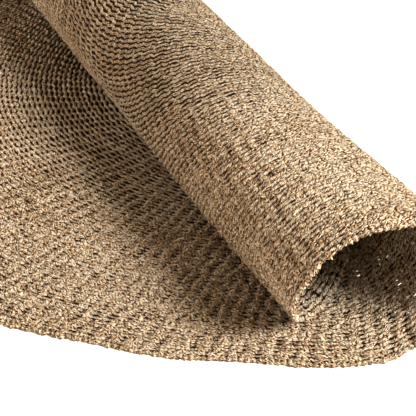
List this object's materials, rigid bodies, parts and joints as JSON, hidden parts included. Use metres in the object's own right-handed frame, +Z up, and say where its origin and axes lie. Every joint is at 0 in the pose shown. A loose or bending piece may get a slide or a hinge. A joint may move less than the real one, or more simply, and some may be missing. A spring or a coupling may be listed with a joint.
{
  "type": "sisal rug",
  "caption": "Round crocheted sisal rug, half of it flat on the floor and the other half rolled over into a loose open tube.",
  "frame": {"origin": "on the floor, under the middle of the box that the rug fills", "axes": "+Y along the roll, away from its open mouth; +X across the roll, from the flat part to the roll; +Z up"},
  "size_m": [0.6638, 1.5024, 0.2208],
  "materials": {
    "sisal": "crocheted natural sisal cord, matt, straw and tan"
  },
  "bodies": {
    "root": {"rug": "sisal"}
  },
  "joints": []
}
